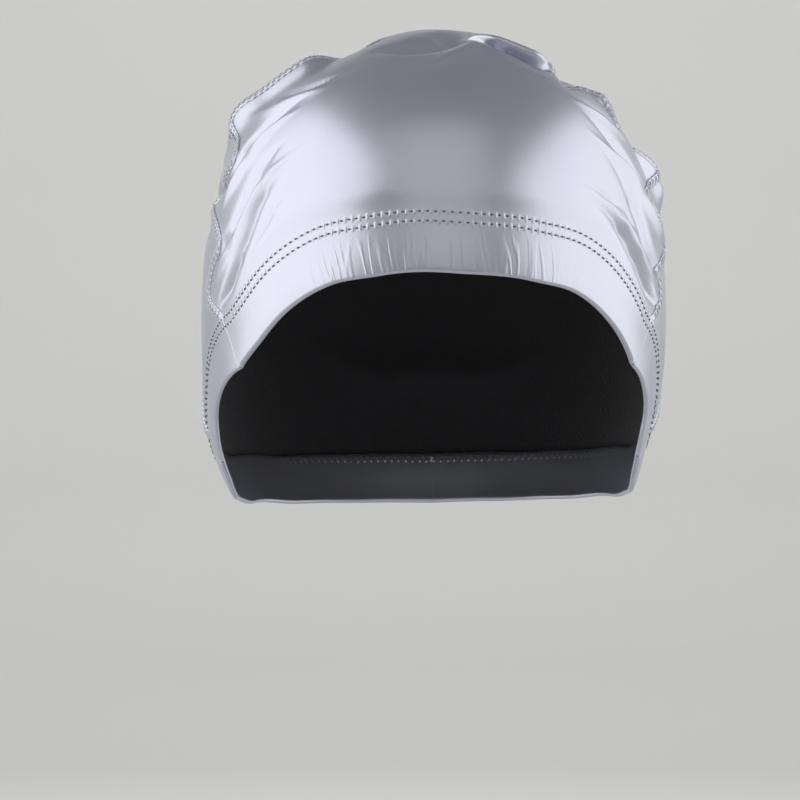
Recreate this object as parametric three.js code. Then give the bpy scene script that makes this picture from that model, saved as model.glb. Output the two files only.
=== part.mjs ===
// A swim cap of coated knit, in the form that it has when worn.
// Three panels, the front one, a strip over the crown from ear to ear and the back one, are joined by two
// raised seams. All round the opening the cloth is turned in, and the turned layer is the hem fold.
// Millimetres, +Z up, the wearer looks along -Y. The origin is the inside of the crown, by which the cap
// is carried.
import * as THREE from 'three';

// Overall sizes
const CAP_HEIGHT = 180; // inside of the crown down to the hem at the nape
const HALF_WIDTH = 88; // crown line out to the widest point above either ear
const FRONT_REACH = 103; // crown line forward to the forehead
const BACK_REACH = 115; // crown line back to the back of the head
const EAR_SHIFT = 21; // how far behind the crown line the cap is widest at ear height

// Cloth, seams and hem
const CLOTH = 1.3; // one layer of coated knit
const FOLD_CLOTH = 1.1; // the turned layer, pressed flat
const LAYER_GAP = 0.35; // between two layers
const PANEL_GAP = 0.4; // between the edges of two panels under a seam
const SEAM_WIDTH = 5;
const SEAM_THICKNESS = 1.1;
const SEAM_EDGE = 0.6; // thickness of a seam at its edges
const HEM_DEPTH = 20; // how far up the cloth is turned

// Folds of the slack cloth
const FOLD_DEPTH = 6; // the deepest crease
const FOLD_WIDTH = 8; // half the width of the widest fold

// Facets
const STATIONS = 48; // along each seam
const FRONT_ROWS = 21;
const STRIP_ROWS = 9;
const BACK_ROWS = 11;
const PATH_STEPS = 24; // straight steps in the path of a fold

// Sections of the cap, at even steps of length from the crown to below the hem. A place on the cap is
// given by its azimuth, 0 in front and 90 at the wearer's left ear, and its level, 0 at the crown and 1 at
// the nape. drop is a share of CAP_HEIGHT, each reach of its own size, and shift of EAR_SHIFT.
const LEVEL_STEP = 0.1;
const SECTIONS = [
  { drop: 0, right: 0, left: 0, front: 0, back: 0, shift: 0 },
  { drop: 0.012, right: 0.16, left: 0.215, front: 0.235, back: 0.22, shift: 0 },
  { drop: 0.049, right: 0.34, left: 0.41, front: 0.445, back: 0.425, shift: 0.05 },
  { drop: 0.117, right: 0.62, left: 0.65, front: 0.66, back: 0.635, shift: 0.2 },
  { drop: 0.217, right: 0.85, left: 0.84, front: 0.845, back: 0.825, shift: 0.38 },
  { drop: 0.345, right: 0.945, left: 0.955, front: 0.955, back: 0.95, shift: 0.57 },
  { drop: 0.478, right: 0.995, left: 1.0, front: 1.0, back: 1.005, shift: 0.71 },
  { drop: 0.611, right: 1.005, left: 1.015, front: 1.0, back: 1.0, shift: 0.86 },
  { drop: 0.75, right: 1.0, left: 1.0, front: 0.97, back: 0.95, shift: 0.95 },
  { drop: 0.889, right: 0.99, left: 0.935, front: 0.92, back: 0.87, shift: 1 },
  { drop: 1.011, right: 0.83, left: 0.84, front: 0.835, back: 0.785, shift: 1 },
  { drop: 1.122, right: 0.7, left: 0.7, front: 0.74, back: 0.7, shift: 1 },
];

// The hem, in four stretches that meet where the seams end at it, each with its facets in the hem fold
const HEM = {
  front: {
    facets: 24,
    places: [
      [-52, 0.772], [-45, 0.738], [-36, 0.692], [-25, 0.657], [-12, 0.643], [6, 0.641], [22, 0.65],
      [34, 0.667], [44, 0.706], [54, 0.768],
    ],
  },
  leftEar: { facets: 7, places: [[54, 0.768], [61, 0.795], [66.5, 0.835], [67.5, 0.87], [69, 0.905]] },
  back: {
    facets: 36,
    places: [
      [69, 0.905], [75, 0.948], [88, 0.972], [108, 0.983], [132, 0.99], [156, 0.996], [180, 1],
      [-156, 1], [-132, 1], [-108, 0.996], [-88, 0.985], [-76, 0.958], [-71, 0.915],
    ],
  },
  rightEar: { facets: 7, places: [[-71, 0.915], [-69.5, 0.875], [-67, 0.83], [-60, 0.793], [-52, 0.772]] },
};

// The seams, each from the hem by the right ear over the cap to the hem by the left ear
const FRONT_SEAM = [
  [-52, 0.772], [-59, 0.712], [-69, 0.668], [-68, 0.625], [-64, 0.58], [-77, 0.527], [-74, 0.485],
  [-68, 0.445], [-81, 0.398], [-77, 0.345], [-70, 0.25], [-86, 0.12], [180, 0.01], [84, 0.12],
  [72, 0.245], [77, 0.335], [75, 0.385], [77, 0.43], [81, 0.475], [69, 0.52], [81, 0.59], [71, 0.622],
  [69, 0.675], [61, 0.718], [54, 0.768],
];
const BACK_SEAM = [
  [-71, 0.915], [-86, 0.855], [-104, 0.74], [-120, 0.6], [-138, 0.46], [-158, 0.36], [180, 0.33],
  [158, 0.36], [138, 0.46], [120, 0.6], [104, 0.74], [85, 0.85], [69, 0.905],
];

// The main folds: a path of azimuths and levels, the rise as a share of FOLD_DEPTH, negative for a crease,
// half the width as a share of FOLD_WIDTH, and the share of the path over which either end fades out.
const FOLDS = [
  { place: 'right temple crease', path: [[-37, 0.448], [-44, 0.5], [-48, 0.535], [-52, 0.59], [-57, 0.65],
    [-64, 0.695]], rise: -0.45, width: 0.5, fade: 0.4 },
  { place: 'right temple ridge', path: [[-34, 0.437], [-42, 0.468], [-48, 0.5], [-53, 0.545], [-60, 0.61],
    [-67, 0.66]], rise: 0.3, width: 0.45, fade: 0.35 },
  { place: 'right temple pleat', path: [[-35, 0.5], [-41, 0.536], [-45, 0.575], [-52, 0.645]],
    rise: -0.2, width: 0.4, fade: 0.5 },
  { place: 'right side hollow', path: [[-43, 0.43], [-49, 0.47], [-53, 0.52], [-58, 0.575], [-66, 0.62]],
    rise: -0.35, width: 0.5, fade: 0.35 },
  { place: 'right side ridge', path: [[-43, 0.37], [-51, 0.405], [-57, 0.45], [-62, 0.495], [-67, 0.54]],
    rise: 0.3, width: 0.45, fade: 0.35 },
  { place: 'right side crease', path: [[-40, 0.335], [-50, 0.37], [-59, 0.42], [-67, 0.48], [-79, 0.503],
    [-90, 0.51], [-100, 0.51]], rise: -0.6, width: 0.4, fade: 0.35 },
  { place: 'right brow ridge', path: [[-34, 0.318], [-46, 0.342], [-60, 0.37], [-76, 0.385]],
    rise: 0.3, width: 0.5, fade: 0.4 },
  { place: 'right crown crease', path: [[-30, 0.268], [-42, 0.312], [-54, 0.332], [-68, 0.338]],
    rise: -0.3, width: 0.45, fade: 0.4 },
  { place: 'right shoulder', path: [[-66, 0.36], [-82, 0.385], [-98, 0.43], [-104, 0.47]],
    rise: 0.55, width: 1, fade: 0.35 },
  { place: 'right side notch', path: [[-76, 0.56], [-88, 0.535], [-100, 0.52]],
    rise: -0.55, width: 0.6, fade: 0.4 },
  { place: 'right crown hump', path: [[-62, 0.235], [-69, 0.262], [-74, 0.3], [-79, 0.35], [-83, 0.4],
    [-88, 0.45]], rise: 0.85, width: 1, fade: 0.35 },
  { place: 'right crown dent', path: [[-48, 0.16], [-70, 0.2], [-96, 0.25]],
    rise: -0.35, width: 1, fade: 0.4 },
  { place: 'left temple pleat', path: [[34, 0.495], [41, 0.505], [47, 0.524], [54, 0.553], [61, 0.6]],
    rise: -0.2, width: 0.35, fade: 0.5 },
  { place: 'left temple crease', path: [[37, 0.52], [44, 0.538], [50, 0.572], [55, 0.61], [61, 0.655],
    [69, 0.69]], rise: -0.45, width: 0.5, fade: 0.4 },
  { place: 'left temple ridge', path: [[42, 0.515], [49, 0.54], [54, 0.572], [60, 0.617], [68, 0.66]],
    rise: 0.25, width: 0.4, fade: 0.35 },
  { place: 'left side ridge', path: [[45, 0.405], [53, 0.445], [60, 0.475], [67, 0.525], [75, 0.565],
    [82, 0.59]], rise: 0.35, width: 0.45, fade: 0.35 },
  { place: 'left side hollow', path: [[49, 0.44], [55, 0.49], [59, 0.54], [63, 0.59], [70, 0.625],
    [78, 0.64]], rise: -0.4, width: 0.5, fade: 0.35 },
  { place: 'left side crease', path: [[49, 0.372], [55, 0.41], [61, 0.452], [68, 0.5], [76, 0.525]],
    rise: -0.35, width: 0.45, fade: 0.35 },
  { place: 'left brow ridge', path: [[46, 0.345], [56, 0.372], [66, 0.405], [78, 0.445]],
    rise: 0.3, width: 0.45, fade: 0.4 },
  { place: 'left crown crease', path: [[50, 0.345], [62, 0.372], [74, 0.405], [86, 0.435], [98, 0.45]],
    rise: -0.5, width: 0.5, fade: 0.35 },
  { place: 'left shoulder', path: [[72, 0.33], [84, 0.345], [98, 0.36]],
    rise: 0.5, width: 0.7, fade: 0.4 },
  { place: 'left side hump', path: [[73, 0.43], [79, 0.46], [84, 0.495], [90, 0.535]],
    rise: 0.75, width: 0.75, fade: 0.4 },
  { place: 'left seam bump', path: [[80, 0.49], [90, 0.52], [102, 0.53]],
    rise: 0.25, width: 0.65, fade: 0.4 },
  { place: 'front crest', path: [[-18, 0.302], [-4, 0.288], [6, 0.264], [14, 0.238], [22, 0.21],
    [30, 0.182]], rise: 0.35, width: 0.6, fade: 0.35 },
  { place: 'hollow behind the crest', path: [[-40, 0.235], [-14, 0.215], [6, 0.185], [18, 0.14],
    [60, 0.08]], rise: -0.75, width: 0.9, fade: 0.35 },
  { place: 'edge under the roll', path: [[29, 0.185], [31, 0.23], [33, 0.26], [38, 0.283], [46, 0.302], [56, 0.322]],
    rise: 0.25, width: 0.4, fade: 0.4 },
  { place: 'crease under the roll', path: [[32, 0.175], [33, 0.215], [37, 0.243], [43, 0.265], [52, 0.287]],
    rise: -1, width: 0.45, fade: 0.3 },
  { place: 'crown roll', path: [[28, 0.14], [35, 0.17], [44, 0.205], [53, 0.24], [60, 0.265]],
    rise: 0.65, width: 0.65, fade: 0.25 },
  { place: 'left crown dent', path: [[112, 0.25], [92, 0.255], [74, 0.277], [60, 0.302], [50, 0.33]],
    rise: -0.8, width: 0.75, fade: 0.35 },
  { place: 'left crown slope', path: [[60, 0.13], [90, 0.17], [120, 0.2]],
    rise: -0.5, width: 1, fade: 0.4 },
  { place: 'back crease', path: [[-150, 0.42], [-165, 0.47], [170, 0.46], [150, 0.4]],
    rise: -0.4, width: 1, fade: 0.4 },
  { place: 'nape crease', path: [[-140, 0.72], [-165, 0.78], [165, 0.78], [142, 0.73]],
    rise: -0.4, width: 1, fade: 0.4 },
];

// The cap's chart is a plane with the crown at its middle: a point's distance from the middle is its level
// and its direction is its azimuth, with the front along -q and the wearer's left ear along +p.
const chartPoint = ([azimuth, level]) => {
  const angle = THREE.MathUtils.degToRad(azimuth);
  return new THREE.Vector2(level * Math.sin(angle), -level * Math.cos(angle));
};

// A smooth line through chart points, at a share of its length counted in points.
const along = (points, share) => {
  const spot = THREE.MathUtils.clamp(share, 0, 1) * (points.length - 1);
  const index = Math.min(Math.floor(spot), points.length - 2);
  const at = (k) => points[THREE.MathUtils.clamp(k, 0, points.length - 1)];
  const ends = [at(index - 1), at(index), at(index + 1), at(index + 2)];
  const spline = new THREE.SplineCurve(ends);
  return spline.getPoint((1 + spot - index) / 3);
};

// One size of the section at a level, smoothed over the neighbouring rows. Above the crown the rows
// mirror, so that the crown is round.
const mirrored = (row) => {
  const { right, left, front, back } = row;
  return { ...row, right: -right, left: -left, front: -front, back: -back };
};
const sectionRow = (k) => (k < 0 ? mirrored(SECTIONS[-k]) : SECTIONS[Math.min(k, SECTIONS.length - 1)]);

const sectionAt = (level) => {
  const spot = Math.min(level / LEVEL_STEP, SECTIONS.length - 1);
  const index = Math.min(Math.floor(spot), SECTIONS.length - 2);
  const t = spot - index;
  const weights = [
    (1 - t) ** 3 / 6,
    (3 * t ** 3 - 6 * t ** 2 + 4) / 6,
    (-3 * t ** 3 + 3 * t ** 2 + 3 * t + 1) / 6,
    t ** 3 / 6,
  ];
  const blend = (size) => weights.reduce((sum, w, k) => sum + w * sectionRow(index - 1 + k)[size], 0);
  return {
    drop: blend('drop') * CAP_HEIGHT,
    right: blend('right') * HALF_WIDTH,
    left: blend('left') * HALF_WIDTH,
    front: blend('front') * FRONT_REACH,
    back: blend('back') * BACK_REACH,
    shift: blend('shift') * EAR_SHIFT,
  };
};
const CROWN_DROP = sectionAt(0).drop;

// The smooth outer surface without folds. Each level is near an ellipse, a little fuller at its corners.
const CORNER_FULLNESS = 0.02;
const smoothPoint = (spot) => {
  const level = spot.length();
  const side = level > 0 ? spot.x / level : 0;
  const ahead = level > 0 ? -spot.y / level : 1;
  const row = sectionAt(level);
  const full = 1 + CORNER_FULLNESS * (2 * side * ahead) ** 2;
  const halfWidth = (row.right * (1 - side) + row.left * (1 + side)) / 2;
  const reach = ((row.front + row.shift) * (1 + ahead) + (row.back - row.shift) * (1 - ahead)) / 2;
  return new THREE.Vector3(
    halfWidth * side * full,
    row.shift - reach * ahead * full,
    CLOTH + CROWN_DROP - row.drop,
  );
};

const CHART_STEP = 1e-4;
const slopes = (spot) => ['x', 'y'].map((axis) => {
  const step = new THREE.Vector2();
  step[axis] = CHART_STEP;
  const ahead = smoothPoint(spot.clone().add(step));
  const behind = smoothPoint(spot.clone().sub(step));
  return ahead.sub(behind).divideScalar(2 * CHART_STEP);
});
const outward = (spot) => {
  const [alongP, alongQ] = slopes(spot);
  return alongP.cross(alongQ).normalize();
};

// The chart point that lies one millimetre away from a spot, in a given direction on the surface.
const chartStep = (spot, direction) => {
  const [u, v] = slopes(spot);
  const uu = u.dot(u);
  const uv = u.dot(v);
  const vv = v.dot(v);
  const du = u.dot(direction);
  const dv = v.dot(direction);
  const size = uu * vv - uv * uv;
  return new THREE.Vector2((vv * du - uv * dv) / size, (uu * dv - uv * du) / size);
};

const distanceToPath = (point, path) => {
  let nearest = Infinity;
  let share = 0;
  const foot = new THREE.Vector3();
  for (let k = 0; k + 1 < path.length; k += 1) {
    const line = new THREE.Line3(path[k], path[k + 1]);
    const t = line.closestPointToPointParameter(point, true);
    const distance = line.at(t, foot).distanceTo(point);
    if (distance < nearest) {
      nearest = distance;
      share = (k + t) / (path.length - 1);
    }
  }
  return { nearest, share };
};

const stretchPath = (points, steps) =>
  Array.from({ length: steps + 1 }, (_, k) => smoothPoint(along(points, k / steps)));

const hemStretches = Object.values(HEM);
const hemLines = hemStretches.map((stretch) => stretch.places.map(chartPoint));
const hemPath = hemLines.flatMap((line) => stretchPath(line, PATH_STEPS));
const folds = FOLDS.map((fold) => ({ ...fold, line: stretchPath(fold.path.map(chartPoint), PATH_STEPS) }));

// How far the folds lift the cloth off the smooth surface. The hem, which is stiff, stays smooth.
const SMOOTH_HEM = 1.05; // shares of HEM_DEPTH between which the folds fade out
const FULL_FOLDS = 1.6;
const foldRise = (point) => {
  const fromHem = distanceToPath(point, hemPath).nearest / HEM_DEPTH;
  const clear = THREE.MathUtils.smoothstep(fromHem, SMOOTH_HEM, FULL_FOLDS);
  if (clear === 0) return 0;
  return folds.reduce((sum, fold) => {
    const { nearest, share } = distanceToPath(point, fold.line);
    const fromEnd = Math.min(share, 1 - share) / fold.fade;
    const strength = THREE.MathUtils.smoothstep(fromEnd, 0, 1);
    const across = nearest / (fold.width * FOLD_WIDTH);
    return sum + clear * strength * fold.rise * FOLD_DEPTH * Math.exp(-across * across);
  }, 0);
};

// A point of the cap's outer surface at a chart spot, and the same point raised or sunk.
const surface = (spot) => {
  const smooth = smoothPoint(spot);
  const normal = outward(spot);
  const point = smooth.clone().addScaledVector(normal, foldRise(smooth));
  return { point, at: (height) => point.clone().addScaledVector(normal, height) };
};

// A closed body between two nets of points with as many rows and columns. A ring's last column meets its
// first one. Both nets are split along the same diagonals, so that the cloth is as thick everywhere and
// layers that follow each other stay apart. In the first turnedRows they run the other way.
const closedBody = (top, bottom, ring, turnedRows = 0) => {
  const columns = top.length;
  const rows = top[0].length;
  const points = [...top.flat(), ...bottom.flat()];
  const index = (column, row, under) => (under * columns + (column % columns)) * rows + row;
  const faces = [];
  const quad = (a, b, c, d) => faces.push(a, b, c, a, c, d);
  const netQuad = (i, j, under) => {
    const corners = [[i, j], [i + 1, j], [i + 1, j + 1], [i, j + 1]].map((cell) => index(...cell, under));
    if (j < turnedRows) corners.push(corners.shift());
    const [a, b, c, d] = corners;
    if (under) quad(a, d, c, b);
    else quad(a, b, c, d);
  };
  const cells = ring ? columns : columns - 1;
  for (let i = 0; i < cells; i += 1) {
    for (let j = 0; j + 1 < rows; j += 1) {
      netQuad(i, j, 0);
      netQuad(i, j, 1);
    }
    quad(index(i, 0, 1), index(i + 1, 0, 1), index(i + 1, 0, 0), index(i, 0, 0));
    quad(index(i, rows - 1, 0), index(i + 1, rows - 1, 0), index(i + 1, rows - 1, 1), index(i, rows - 1, 1));
  }
  if (!ring) {
    for (let j = 0; j + 1 < rows; j += 1) {
      quad(index(0, j, 0), index(0, j + 1, 0), index(0, j + 1, 1), index(0, j, 1));
      quad(index(cells, j, 1), index(cells, j + 1, 1), index(cells, j + 1, 0), index(cells, j, 0));
    }
  }
  const volume = faces.reduce((sum, _, k) => {
    if (k % 3) return sum;
    const [a, b, c] = [points[faces[k]], points[faces[k + 1]], points[faces[k + 2]]];
    return sum + a.dot(b.clone().cross(c));
  }, 0);
  if (volume < 0) faces.reverse();
  const geometry = new THREE.BufferGeometry().setFromPoints(points);
  geometry.setIndex(faces);
  geometry.computeVertexNormals();
  return geometry;
};

// A panel lies between two chart lines, near and far, and its columns run from one to the other. Under a
// seam the panel stops short of the line, and its next row lies below the seam's edge.
const LINE_STEP = 1e-3;
const edgeShares = (cross, station) => {
  const start = smoothPoint(cross(station, 0));
  const run = smoothPoint(cross(station, LINE_STEP)).sub(start).divideScalar(LINE_STEP);
  const before = smoothPoint(cross(station - LINE_STEP, 0));
  const tangent = smoothPoint(cross(station + LINE_STEP, 0)).sub(before).normalize();
  const straightOff = run.cross(tangent).length();
  const length = start.distanceTo(smoothPoint(cross(station, 1)));
  const share = (distance, most) => Math.min(distance / straightOff, most, (most * length) / straightOff);
  return { gap: share(PANEL_GAP / 2, 0.1), under: share(SEAM_WIDTH / 2, 0.3) };
};

const columnShares = (cross, station, rows, nearSeam, farSeam) => {
  const turned = (s, t) => cross(s, 1 - t);
  const near = edgeShares(cross, station);
  const far = edgeShares(turned, station);
  const first = nearSeam ? near.under : 0;
  const last = farSeam ? 1 - far.under : 1;
  const even = Array.from({ length: rows + 1 }, (_, k) => first + ((last - first) * k) / rows);
  return [...(nearSeam ? [near.gap] : []), ...even, ...(farSeam ? [1 - far.gap] : [])];
};

const CORNER_CUT = 0.01; // share of a seam left off at its ends, where a pointed panel narrows
const stations = Array.from({ length: STATIONS + 1 }, (_, k) => k / STATIONS);
const pointedStations = stations.map((s) => THREE.MathUtils.clamp(s, CORNER_CUT, 1 - CORNER_CUT));

const panelGeometry = (places, cross, rows, nearSeam, farSeam) => {
  const nets = places.map((station) =>
    columnShares(cross, station, rows, nearSeam, farSeam).map((share) => surface(cross(station, share))));
  const top = nets.map((column) => column.map((spot) => spot.point));
  const bottom = nets.map((column) => column.map((spot) => spot.at(-CLOTH)));
  return closedBody(top, bottom, false);
};

const [hemFront, hemLeft, hemBack, hemRight] = hemLines;
const frontSeam = FRONT_SEAM.map(chartPoint);
const backSeam = BACK_SEAM.map(chartPoint);

const crossFront = (s, t) => along(frontSeam, s).lerp(along(hemFront, s), t);
const crossBack = (s, t) => along(backSeam, s).lerp(along(hemBack, 1 - s), t);
// The strip is ruled between its seams, and bent at its ends to follow the hem at the ears.
const crossStrip = (s, t) => {
  const ruled = along(frontSeam, s).lerp(along(backSeam, s), t);
  const rightEnd = along(hemRight, 1 - t).sub(frontSeam[0].clone().lerp(backSeam[0], t));
  const leftEnd = along(hemLeft, t).sub(frontSeam.at(-1).clone().lerp(backSeam.at(-1), t));
  return ruled.addScaledVector(rightEnd, 1 - s).addScaledVector(leftEnd, s);
};

// A seam is a raised band that covers the edges of the two panels that it joins.
const seamGeometry = (line, crossOne, crossOther, turnedRows) => {
  const columns = pointedStations.map((station) => {
    const one = surface(crossOne(station, edgeShares(crossOne, station).under));
    const other = surface(crossOther(station, edgeShares(crossOther, station).under));
    return [one, surface(along(line, station)), other];
  });
  const heights = [SEAM_EDGE, SEAM_THICKNESS, SEAM_EDGE];
  const top = columns.map((column) => column.map((spot, k) => spot.at(LAYER_GAP + heights[k])));
  const bottom = columns.map((column) => column.map((spot) => spot.at(LAYER_GAP)));
  return closedBody(top, bottom, false, turnedRows);
};

// The hem fold is a ring inside the panels, from the opening's edge up by HEM_DEPTH.
const HEM_ROWS = [0.01, 0.35, 0.7, 1];
const hemGeometry = () => {
  const spots = hemStretches.flatMap(({ facets }, stretch) =>
    Array.from({ length: facets }, (_, k) => along(hemLines[stretch], k / facets)));
  const columns = spots.map((spot, k) => {
    const ahead = smoothPoint(spots[(k + 1) % spots.length]);
    const behind = smoothPoint(spots.at(k - 1));
    const upward = outward(spot).cross(ahead.sub(behind)).normalize();
    const step = chartStep(spot, upward);
    return HEM_ROWS.map((row) => surface(spot.clone().addScaledVector(step, row * HEM_DEPTH)));
  });
  const layer = (height) => columns.map((column) => column.map((spot) => spot.at(-height)));
  return closedBody(layer(CLOTH + LAYER_GAP), layer(CLOTH + LAYER_GAP + FOLD_CLOTH), true);
};

const finish = (color, roughness, metalness) =>
  new THREE.MeshStandardMaterial({ color, roughness, metalness });
const coatedKnit = () => finish('#b7bac2', 0.38, 0.75);
const seamThread = () => finish('#d3d5da', 0.55, 0.2);

const cap = new THREE.Group();
const add = (name, geometry, material) => {
  const mesh = new THREE.Mesh(geometry, material);
  mesh.name = name;
  cap.add(mesh);
};

add('front_panel', panelGeometry(pointedStations, crossFront, FRONT_ROWS, true, false), coatedKnit());
add('crown_strip', panelGeometry(stations, crossStrip, STRIP_ROWS, true, true), coatedKnit());
add('back_panel', panelGeometry(pointedStations, crossBack, BACK_ROWS, true, false), coatedKnit());
add('front_seam', seamGeometry(frontSeam, crossFront, crossStrip, 1), seamThread());
add('back_seam', seamGeometry(backSeam, crossBack, (s, t) => crossStrip(s, 1 - t), 2), seamThread());
add('hem_fold', hemGeometry(), coatedKnit());

export default cap;
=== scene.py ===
# %% [markdown]
# # A swim cap of silver coated knit
# The cap is three panels of stretch cloth, two raised seams, and a hem that is turned in and held by two
# rows of stitches. It is shown in its worn form, slack over the crown and full of soft folds at the
# temples. The solids of the frame already have the right size and place. Here each one is replaced by a
# finer sheet with the same outline, and the stitches, the creases and the finishes are added.

# %% Load the frame
import math

import bpy
import numpy as np
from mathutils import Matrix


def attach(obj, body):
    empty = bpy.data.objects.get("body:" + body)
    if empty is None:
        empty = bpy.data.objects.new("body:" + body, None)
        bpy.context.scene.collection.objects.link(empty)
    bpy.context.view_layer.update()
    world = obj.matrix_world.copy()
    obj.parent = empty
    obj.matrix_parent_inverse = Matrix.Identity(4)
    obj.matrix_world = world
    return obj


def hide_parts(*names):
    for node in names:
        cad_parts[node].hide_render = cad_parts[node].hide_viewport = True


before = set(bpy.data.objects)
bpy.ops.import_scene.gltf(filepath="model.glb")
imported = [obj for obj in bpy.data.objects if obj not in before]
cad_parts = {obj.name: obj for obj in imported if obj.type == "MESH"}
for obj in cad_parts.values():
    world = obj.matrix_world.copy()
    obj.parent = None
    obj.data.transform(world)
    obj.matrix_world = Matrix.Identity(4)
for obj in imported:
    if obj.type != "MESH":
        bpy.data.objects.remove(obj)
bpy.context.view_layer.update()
bpy.ops.object.select_all(action="DESELECT")
print("nodes:", sorted(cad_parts))

# %% [markdown]
# ## The camera
# The camera looks level at the front of the cap from about 1.3 m away, a little below its crown and at the
# height of its lower half. A long lens gives the same slight perspective.

# %% Camera
EYE = (-0.0125, -1.3, -0.1378)
LENS = 155.0  # mm
SENSOR = 36.0  # mm
NEAREST = 0.01  # m from the camera, where the view starts
bpy.ops.object.camera_add(location=EYE, rotation=(math.radians(90), 0, 0))
camera = bpy.context.object
camera.name = "front_camera"
camera.data.lens = LENS
camera.data.sensor_width = SENSOR
camera.data.clip_start = NEAREST
bpy.context.scene.camera = camera
bpy.context.scene.view_settings.view_transform = "Standard"
print("camera at", [round(x, 3) for x in camera.location])

# %% [markdown]
# ## A chart of the cap
# A round cap has no straight edge to start from, so every place on it is named by two numbers. The
# azimuth goes round, 0 in front and 90 at the wearer's left ear. The level goes down, 0 at the crown and 1
# at the nape. A short table of sections turns them into a point. A subdivided sphere could be pulled into
# shape by hand instead, but the table is the one that the solids were made from, so the sheets and the
# solids lie in the same place.

# %% Sections of the cap
MM = 0.001
CAP_HEIGHT = 180.0
HALF_WIDTH = 88.0
FRONT_REACH = 103.0
BACK_REACH = 115.0
EAR_SHIFT = 21.0
CROWN_TOP = 1.3  # the outer surface above the origin
CORNER_FULLNESS = 0.02
LEVEL_STEP = 0.1
# one row each LEVEL_STEP: drop, right, left, front, back and shift, as shares of the sizes above
SECTIONS = np.array([
    [0, 0, 0, 0, 0, 0],
    [0.012, 0.16, 0.215, 0.235, 0.22, 0],
    [0.049, 0.34, 0.41, 0.445, 0.425, 0.05],
    [0.117, 0.62, 0.65, 0.66, 0.635, 0.2],
    [0.217, 0.85, 0.84, 0.845, 0.825, 0.38],
    [0.345, 0.945, 0.955, 0.955, 0.95, 0.57],
    [0.478, 0.995, 1.0, 1.0, 1.005, 0.71],
    [0.611, 1.005, 1.015, 1.0, 1.0, 0.86],
    [0.75, 1.0, 1.0, 0.97, 0.95, 0.95],
    [0.889, 0.99, 0.935, 0.92, 0.87, 1],
    [1.011, 0.83, 0.84, 0.835, 0.785, 1],
    [1.122, 0.7, 0.7, 0.74, 0.7, 1],
])
SIZES = np.array([CAP_HEIGHT, HALF_WIDTH, HALF_WIDTH, FRONT_REACH, BACK_REACH, EAR_SHIFT])
ABOVE_CROWN = SECTIONS[1] * [1, -1, -1, -1, -1, 1]  # the row that makes the crown round
CONTROL = np.vstack([ABOVE_CROWN, SECTIONS, SECTIONS[-1]]) * SIZES
widest = 2 * HALF_WIDTH * SECTIONS[:, 1:3].mean(1).max()
print(len(SECTIONS), "sections, the widest", round(float(widest), 1), "mm across")


# %% Points of the surface
def section_at(level):
    """The sizes of the section at a level, in mm, smoothed over four rows."""
    last = len(SECTIONS) - 1
    spot = np.clip(level / LEVEL_STEP, 0, last)
    k = np.minimum(spot.astype(int), last - 1)
    t = (spot - k)[..., None]
    rows = [CONTROL[k + step] for step in range(4)]
    weights = ((1 - t) ** 3, 3 * t**3 - 6 * t**2 + 4, -3 * t**3 + 3 * t**2 + 3 * t + 1, t**3)
    return sum(w * row for w, row in zip(weights, rows)) / 6


def chart(azimuth, level):
    """A place on the chart, a plane with the crown at its middle and the front along -q."""
    angle = np.radians(azimuth)
    return np.stack([level * np.sin(angle), -level * np.cos(angle)], -1)


def smooth_point(spots):
    """The outer surface without folds, in mm."""
    level = np.hypot(spots[..., 0], spots[..., 1])
    whole = np.maximum(level, 1e-9)
    side, ahead = spots[..., 0] / whole, -spots[..., 1] / whole
    drop, right, left, front, back, shift = np.moveaxis(section_at(level), -1, 0)
    full = 1 + CORNER_FULLNESS * (2 * side * ahead) ** 2
    half_width = (right * (1 - side) + left * (1 + side)) / 2
    reach = ((front + shift) * (1 + ahead) + (back - shift) * (1 - ahead)) / 2
    crown = section_at(np.zeros(1))[0, 0]
    return np.stack([half_width * side * full, shift - reach * ahead * full,
                     CROWN_TOP + crown - drop], -1)


print("ear to ear at level 0.7:", np.round(smooth_point(chart([-90.0, 90.0], 0.7))[:, 0], 1), "mm")


# %% Slopes and normals of the surface
def slopes(spots, step=1e-4):
    """How the smooth surface runs along p and q, in mm per unit of the chart."""
    out = []
    for axis in ([step, 0], [0, step]):
        out.append((smooth_point(spots + axis) - smooth_point(spots - np.array(axis))) / (2 * step))
    return out


def unit(vectors):
    return vectors / np.maximum(np.linalg.norm(vectors, axis=-1, keepdims=True), 1e-12)


def smooth_normal(spots):
    along_p, along_q = slopes(spots)
    return unit(np.cross(along_p, along_q))


def chart_step(spots, direction):
    """The step on the chart that moves one millimetre in a direction on the surface."""
    u, v = slopes(spots)
    uu, uv, vv = (u * u).sum(-1), (u * v).sum(-1), (v * v).sum(-1)
    du, dv = (u * direction).sum(-1), (v * direction).sum(-1)
    size = uu * vv - uv * uv
    return np.stack([(vv * du - uv * dv) / size, (uu * dv - uv * du) / size], -1)


side_spot = chart(90.0, 0.7)
print("the surface faces", np.round(smooth_normal(side_spot), 2), "at the left ear")

# %% [markdown]
# ## The lines on the cloth
# The hem and the seams are smooth lines through a few chart points. A line is passed on as a function of
# the share of its length, so that any number of points can be taken from it.

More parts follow.
